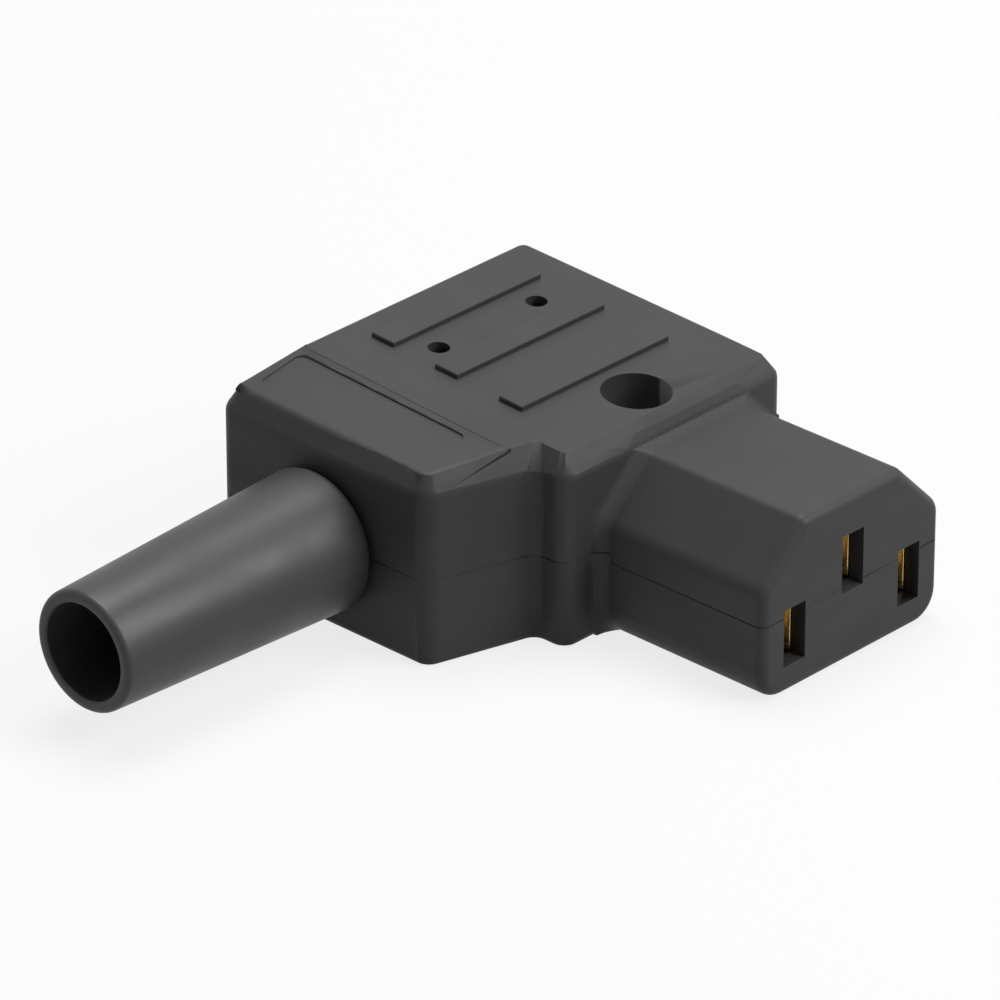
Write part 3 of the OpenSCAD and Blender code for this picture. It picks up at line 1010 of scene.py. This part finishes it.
    def seam_path(self) -> bpy.types.Mesh:
        """Gives the closed path of the parting line round the body and the nose.

        Returns:
            A mesh of points and edges.
        """
        outline = self.outline()
        body = rounded(outline, [self.corner] * len(outline), self.seam_steps)
        split = self.corners_before_nose * (self.seam_steps + 1)
        z, low = self.parting_z, self.nose_parting_z
        step_x = self.front_x + self.root
        w = self.nose_half - self.skin
        tip = self.front_x + self.nose_len - self.skin
        e = self.nose_edge
        flare = [
            (self.front_x + self.root * (1 - math.cos(a)), -w - self.root * (1 - math.sin(a)), z)
            for a in quarter_turn(self.edge_step)
        ]
        turn = [
            (tip - e * (1 - math.sin(a)), -w + e * (1 - math.cos(a)), low)
            for a in quarter_turn(self.edge_step)
        ]
        front = [(x, y, z) for x, y in body[:split]]
        rear = [(x, y, z) for x, y in body[split:]]
        nose = [*flare, (step_x, -w, low), *turn, *[(x, -y, h) for x, y, h in reversed(turn)]]
        nose += [(step_x, w, low), (step_x, w, z), (self.front_x, w, z)]
        points = [*front, *nose, *rear]
        mesh = bpy.data.meshes.new("parting_line")
        count = len(points)
        mesh.from_pydata(points, [(i, (i + 1) % count) for i in range(count)], [])
        return mesh

    def build(self) -> None:
        """Makes both shells: each CAD solid is trimmed to the moulding's rounded form."""
        form = combined(self.body(), self.nose(), Join.UNITE)
        form = combined(combined(form, self.ribs(), Join.UNITE), self.panel(), Join.CUT)
        groove = self.seam.run(self.seam_path(), Depth=self.seam_depth, Material=self.shelf.of(Slot.SHELL))
        for node in ("upper_shell", "lower_shell"):
            bm = bmesh.new()
            bm.from_mesh(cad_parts[node].data)
            bmesh.ops.remove_doubles(bm, verts=bm.verts, dist=SHELL_WELD)
            shell = combined(mesh_of(bm, node), form.copy(), Join.TRIM)
            shell = combined(shell, groove.copy(), Join.CUT)
            name = node + "_moulding"
            piece(name, shaded(shell, name), Slot.SHELL, self.shelf, node)


@dataclass
class CableSleeve:
    """The tapered sleeve that keeps the cable from bending sharply."""

    shelf: FinishShelf
    lathe: Lathe
    wall_y: float = -24.9 * MM
    axis_z: float = 8.0 * MM
    length: float = 27.1 * MM
    tip_r: float = 5.3 * MM
    root_r: float = 6.3 * MM
    bore_r: float = 4.2 * MM
    neck_r: float = 5.2 * MM
    flange_r: float = 6.5 * MM
    flange_t: float = 1.4 * MM
    shell_wall: float = 1.95 * MM
    gap: float = 0.3 * MM
    shoulder: float = 0.9 * MM
    lip: float = 0.5 * MM
    steps: int = 96
    edge_step: int = 15
    taper_steps: int = 12
    crease: float = 40

    def profile(self) -> list[tuple[float, float]]:
        """Gives the section of the sleeve.

        Returns:
            A closed loop of points, each the radius and the distance out from the end wall.
        """
        back = -self.shell_wall
        quarter = quarter_turn(self.edge_step)
        shoulder = [
            (self.root_r - self.shoulder * (1 - math.sin(a)), self.gap + self.shoulder * (1 - math.cos(a)))
            for a in quarter
        ]
        lip = [
            (self.tip_r - self.lip * (1 - math.cos(a)), self.length - self.lip * (1 - math.sin(a)))
            for a in quarter
        ]
        inner = [
            (self.bore_r + self.lip / 2 * (1 - math.sin(a)), self.length - self.lip / 2 * (1 - math.cos(a)))
            for a in quarter
        ]
        run = self.taper_steps
        taper = [
            (
                self.root_r + (self.tip_r - self.root_r) * k / run,
                shoulder[-1][1] + (lip[0][1] - shoulder[-1][1]) * k / run,
            )
            for k in range(1, run)
        ]
        return [
            (self.bore_r, back - self.flange_t),
            (self.flange_r, back - self.flange_t),
            (self.flange_r, back),
            (self.neck_r, back),
            (self.neck_r, self.gap),
            *shoulder,
            *taper,
            *lip,
            *inner,
            (self.bore_r, back - self.flange_t),
        ]

    def build(self) -> None:
        """Turns the sleeve and lays it along the cable axis."""
        points = self.profile()
        row = bpy.data.meshes.new("sleeve_profile")
        row.from_pydata([(r, 0, s) for r, s in points], [], [])
        mesh = self.lathe.run(
            row, Steps=self.steps, Points=len(points), Material=self.shelf.of(Slot.SLEEVE)
        )
        laid = Matrix.Rotation(math.pi / 2, 4, "X")
        mesh.transform(Matrix.Translation((0, self.wall_y, self.axis_z)) @ laid)
        bm = bmesh.new()
        bm.from_mesh(mesh)
        bmesh.ops.remove_doubles(bm, verts=bm.verts, dist=LATHE_WELD)
        bmesh.ops.recalc_face_normals(bm, faces=bm.faces)
        for face in bm.faces:
            face.smooth = True
        shaped = mesh_of(bm, "cable_sleeve_moulding")
        shaped.set_sharp_from_angle(angle=math.radians(self.crease))
        piece("cable_sleeve_moulding", shaped, Slot.SLEEVE, self.shelf, "cable_sleeve")


@dataclass
class ContactSet:
    """The brass contacts and the terminal blocks on their tails."""

    shelf: FinishShelf
    edge: float = 0.08 * MM
    poles: tuple[str, ...] = ("live", "neutral", "earth")

    def build(self) -> None:
        """Makes a contact and a terminal block for each pole."""
        for pole in self.poles:
            contact = softened(merged_copy(pole + "_contact"), pole + "_contact_strip", self.edge)
            piece(pole + "_contact_strip", contact, Slot.CONTACT, self.shelf, pole + "_contact")
            block = softened(merged_copy(pole + "_terminal"), pole + "_terminal_block", 2 * self.edge)
            piece(pole + "_terminal_block", block, Slot.TERMINAL, self.shelf, pole + "_terminal")


@dataclass
class Fasteners:
    """The screws, the captive nut and the cord clamp."""

    shelf: FinishShelf
    edge: float = 0.1 * MM
    screws: tuple[str, ...] = (
        "live_terminal_screw",
        "neutral_terminal_screw",
        "earth_terminal_screw",
        "cord_clamp_screw_left",
        "cord_clamp_screw_right",
        "cover_screw",
    )

    def build(self) -> None:
        """Makes the fasteners and the clamp."""
        for node in self.screws:
            body = softened(merged_copy(node), node + "_turned", self.edge)
            piece(node + "_turned", body, Slot.SCREW, self.shelf, node)
        nut = softened(merged_copy("cover_nut"), "cover_nut_pressed", 2 * self.edge)
        piece("cover_nut_pressed", nut, Slot.SCREW, self.shelf, "cover_nut")
        clamp = softened(merged_copy("cord_clamp"), "cord_clamp_moulding", 2 * self.edge)
        piece("cord_clamp_moulding", clamp, Slot.CLAMP, self.shelf, "cord_clamp")


# ---------------------------------------------------------------- studio


@dataclass
class Lamp:
    """A soft rectangular lamp that points at the part."""

    name: str
    place: tuple[float, float, float]
    size: float
    power: float

    def make(self, target: Vector) -> None:
        """Puts the lamp into the scene.

        Args:
            target: Point that the lamp faces.
        """
        data = bpy.data.lights.new(self.name, "AREA")
        data.shape = "SQUARE"
        data.size = self.size
        data.energy = self.power
        lamp = bpy.data.objects.new(self.name, data)
        lamp.location = Vector(self.place)
        lamp.rotation_euler = (target - lamp.location).to_track_quat("-Z", "Y").to_euler()
        bpy.context.scene.collection.objects.link(lamp)


@dataclass
class Studio:
    """Pale floor, soft lamps and the camera."""

    target: Vector = field(default_factory=lambda: Vector((0.013, -0.005, 0.008)))
    azimuth: float = 43.37
    elevation: float = 27.90
    distance: float = 0.650
    aside: float = -8.54 * MM
    above: float = 0.33 * MM
    lens: float = 284.3
    sensor: float = 36.0
    clip: tuple[float, float] = (0.01, 20)
    surround: float = 0.22
    floor_size: float = 6.0
    floor_grey: float = 0.5
    floor_rough: float = 0.9
    floor_gloss: float = 0.1
    floor_white: float = 0.8
    lamps: tuple[Lamp, ...] = (
        Lamp("key_lamp", (0.6, 0.3, 0.5), 0.45, 6.5),
        Lamp("top_lamp", (-0.1, 0.16, 0.8), 0.5, 8.0),
        Lamp("fill_lamp", (-0.4, -0.7, 0.4), 0.6, 0.35),
    )

    def camera(self) -> None:
        """Sets the camera at the viewing angle."""
        a, e = math.radians(self.azimuth), math.radians(self.elevation)
        right = Vector((math.cos(a), math.sin(a), 0))
        ahead = Vector((-math.sin(a) * math.cos(e), math.cos(a) * math.cos(e), -math.sin(e)))
        up = right.cross(ahead)
        data = bpy.data.cameras.new("camera")
        data.sensor_width = self.sensor
        data.lens = self.lens
        data.clip_start, data.clip_end = self.clip
        made = bpy.data.objects.new("camera", data)
        made.location = self.target - ahead * self.distance + right * self.aside + up * self.above
        made.rotation_euler = ahead.to_track_quat("-Z", "Y").to_euler()
        bpy.context.scene.collection.objects.link(made)
        bpy.context.scene.camera = made

    def seen_white(self, tree: bpy.types.NodeTree) -> bpy.types.NodeSocket:
        """Adds the test for rays that see the background directly, in a mirror or through glass.

        Args:
            tree: The node tree to add it to.

        Returns:
            1 for such a ray, else 0.
        """
        path = tree.nodes.new("ShaderNodeLightPath")
        last = path.outputs["Is Camera Ray"]
        for name in ("Is Glossy Ray", "Is Transmission Ray"):
            either = tree.nodes.new("ShaderNodeMath")
            either.operation = "MAXIMUM"
            tree.links.new(last, either.inputs[0])
            tree.links.new(path.outputs[name], either.inputs[1])
            last = either.outputs[0]
        return last

    def world(self) -> None:
        """Makes a dim even surround that is seen as white."""
        world = bpy.data.worlds.new("surround")
        world.use_nodes = True
        tree = world.node_tree
        tree.nodes.clear()
        out = tree.nodes.new("ShaderNodeOutputWorld")
        mix = tree.nodes.new("ShaderNodeMixShader")
        dim = tree.nodes.new("ShaderNodeBackground")
        dim.inputs["Color"].default_value = (1, 1, 1, 1)
        dim.inputs["Strength"].default_value = self.surround
        white = tree.nodes.new("ShaderNodeBackground")
        white.inputs["Color"].default_value = (1, 1, 1, 1)
        white.inputs["Strength"].default_value = 1.0
        tree.links.new(self.seen_white(tree), mix.inputs[0])
        tree.links.new(dim.outputs[0], mix.inputs[1])
        tree.links.new(white.outputs[0], mix.inputs[2])
        tree.links.new(mix.outputs[0], out.inputs["Surface"])
        bpy.context.scene.world = world

    def floor(self, height: float) -> None:
        """Lays the pale floor, which keeps the part's shadow.

        Args:
            height: Height of the floor.
        """
        half = self.floor_size / 2
        mesh = bpy.data.meshes.new("floor")
        corners = [(-half, -half), (half, -half), (half, half), (-half, half)]
        mesh.from_pydata([(x, y, height) for x, y in corners], [], [(0, 1, 2, 3)])
        material = bpy.data.materials.new("floor_white")
        material.use_nodes = True
        tree = material.node_tree
        shader = tree.nodes["Principled BSDF"]
        shader.inputs["Base Color"].default_value = (*[self.floor_grey] * 3, 1)
        shader.inputs["Roughness"].default_value = self.floor_rough
        shader.inputs["Specular IOR Level"].default_value = self.floor_gloss
        glow = tree.nodes.new("ShaderNodeEmission")
        glow.inputs["Strength"].default_value = 1.0
        share = tree.nodes.new("ShaderNodeMath")
        share.operation = "MULTIPLY"
        share.inputs[1].default_value = self.floor_white
        mix = tree.nodes.new("ShaderNodeMixShader")
        tree.links.new(self.seen_white(tree), share.inputs[0])
        tree.links.new(share.outputs[0], mix.inputs[0])
        tree.links.new(shader.outputs[0], mix.inputs[1])
        tree.links.new(glow.outputs[0], mix.inputs[2])
        tree.links.new(mix.outputs[0], tree.nodes["Material Output"].inputs["Surface"])
        mesh.materials.append(material)
        floor = bpy.data.objects.new("floor", mesh)
        bpy.context.scene.collection.objects.link(floor)

    def build(self) -> None:
        """Makes the whole studio."""
        bpy.context.scene.view_settings.view_transform = "Standard"
        self.camera()
        self.world()
        self.floor(CAD_BOX[0].z)
        for lamp in self.lamps:
            lamp.make(self.target)


def main() -> None:
    """Builds every sub-assembly in order, then the studio."""
    logging.basicConfig(level=logging.INFO, format="%(name)s: %(message)s")
    shelf = FinishShelf()
    Housing(shelf, Row(), Seam()).build()
    CableSleeve(shelf, Lathe()).build()
    ContactSet(shelf).build()
    Fasteners(shelf).build()
    Studio().build()


if __name__ == "__main__":
    main()
